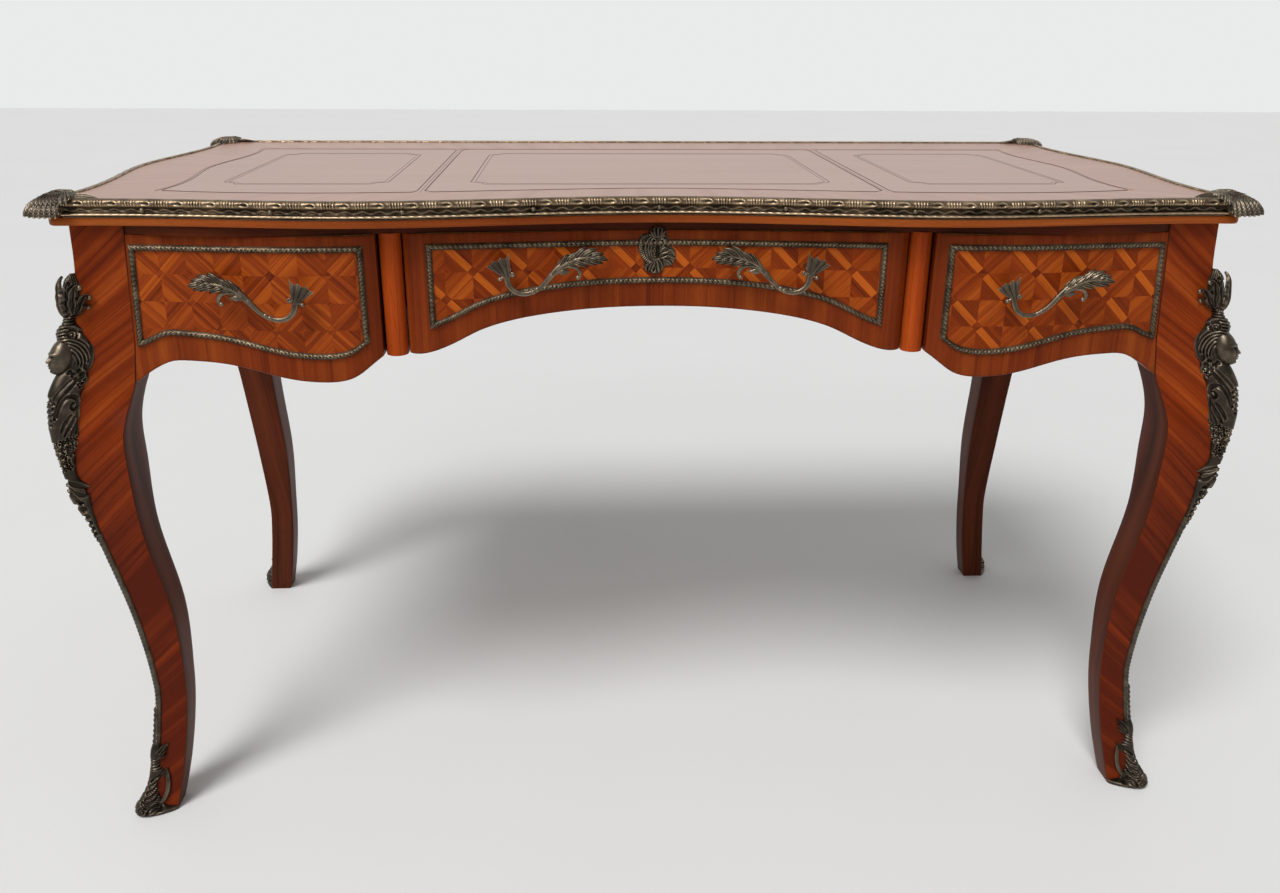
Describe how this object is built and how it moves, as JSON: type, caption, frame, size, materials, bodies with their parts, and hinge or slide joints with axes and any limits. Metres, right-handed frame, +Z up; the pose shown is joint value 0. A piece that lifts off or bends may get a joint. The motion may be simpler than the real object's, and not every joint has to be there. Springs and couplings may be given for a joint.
{
  "type": "bureau plat",
  "caption": "Writing desk on cabriole legs with a leather-lined serpentine top, sliding drawers and cast bronze mounts.",
  "frame": {"origin": "on the floor, under the middle of the desk", "axes": "+X along the desk's length to the right as seen from the drawers, -Y towards the drawers' side, +Z up"},
  "size_m": [1.336, 0.6745, 0.778],
  "materials": {
    "leather": "smooth tooled hide, waxed",
    "top_veneer": "polished crossbanded veneer",
    "leg_veneer": "polished diagonal veneer",
    "apron_veneer": "polished parquetry veneer",
    "drawer_veneer": "polished parquetry veneer",
    "pilaster_wood": "polished",
    "oak": "plain sawn, unpolished",
    "edge_brass": "cast, dark patina",
    "mount_bronze": "cast and chased, dark patina",
    "pin_brass": "worn bright",
    "steel": "plain",
    "lock_iron": "dark, oiled"
  },
  "bodies": {
    "carcass": {"apron_mouldings": "mount_bronze", "back_apron": "apron_veneer", "corner_clasp_front_left": "mount_bronze", "corner_clasp_front_right": "mount_bronze", "corner_clasp_rear_left": "mount_bronze", "corner_clasp_rear_right": "mount_bronze", "divider_left": "pilaster_wood", "divider_right": "pilaster_wood", "drawer_runners": "oak", "drawer_stops": "oak", "edge_moulding_back": "edge_brass", "edge_moulding_front": "edge_brass", "edge_moulding_left": "edge_brass", "edge_moulding_right": "edge_brass", "edge_pins": "pin_brass", "knee_mount_front_left": "mount_bronze", "knee_mount_front_right": "mount_bronze", "knee_mount_rear_left": "mount_bronze", "knee_mount_rear_right": "mount_bronze", "leather_centre": "leather", "leather_left": "leather", "leather_right": "leather", "leg_edge_strips": "mount_bronze", "leg_front_left": "leg_veneer", "leg_front_right": "leg_veneer", "leg_rear_left": "leg_veneer", "leg_rear_right": "leg_veneer", "sabot_front_left": "mount_bronze", "sabot_front_right": "mount_bronze", "sabot_rear_left": "mount_bronze", "sabot_rear_right": "mount_bronze", "side_apron_left": "apron_veneer", "side_apron_right": "apron_veneer", "top_blocks": "oak", "top_board": "top_veneer", "top_screws": "steel", "upper_rail": "oak"},
    "drawer_left": {"drawer_left_bottom": "oak", "drawer_left_box": "oak", "drawer_left_frame": "mount_bronze", "drawer_left_front": "drawer_veneer", "drawer_left_handle": "mount_bronze", "drawer_left_nuts": "steel"},
    "drawer_centre": {"drawer_centre_bottom": "oak", "drawer_centre_box": "oak", "drawer_centre_frame": "mount_bronze", "drawer_centre_front": "drawer_veneer", "drawer_centre_handle_left": "mount_bronze", "drawer_centre_handle_right": "mount_bronze", "drawer_centre_nuts": "steel", "escutcheon": "mount_bronze", "lock_case": "lock_iron"},
    "drawer_right": {"drawer_right_bottom": "oak", "drawer_right_box": "oak", "drawer_right_frame": "mount_bronze", "drawer_right_front": "drawer_veneer", "drawer_right_handle": "mount_bronze", "drawer_right_nuts": "steel"},
    "lock_bolt": {"lock_bolt": "lock_iron"}
  },
  "joints": [
    {"name": "drawer_left_slide", "type": "slide", "parent": "carcass", "child": "drawer_left", "axis": [0, -1, 0], "range_m": [0, 0.3]},
    {"name": "drawer_centre_slide", "type": "slide", "parent": "carcass", "child": "drawer_centre", "axis": [0, -1, 0], "range_m": [0, 0.3]},
    {"name": "drawer_right_slide", "type": "slide", "parent": "carcass", "child": "drawer_right", "axis": [0, -1, 0], "range_m": [0, 0.3]},
    {"name": "lock_bolt_slide", "type": "slide", "parent": "drawer_centre", "child": "lock_bolt", "axis": [0, 0, 1], "range_m": [0, 0.008]}
  ]
}
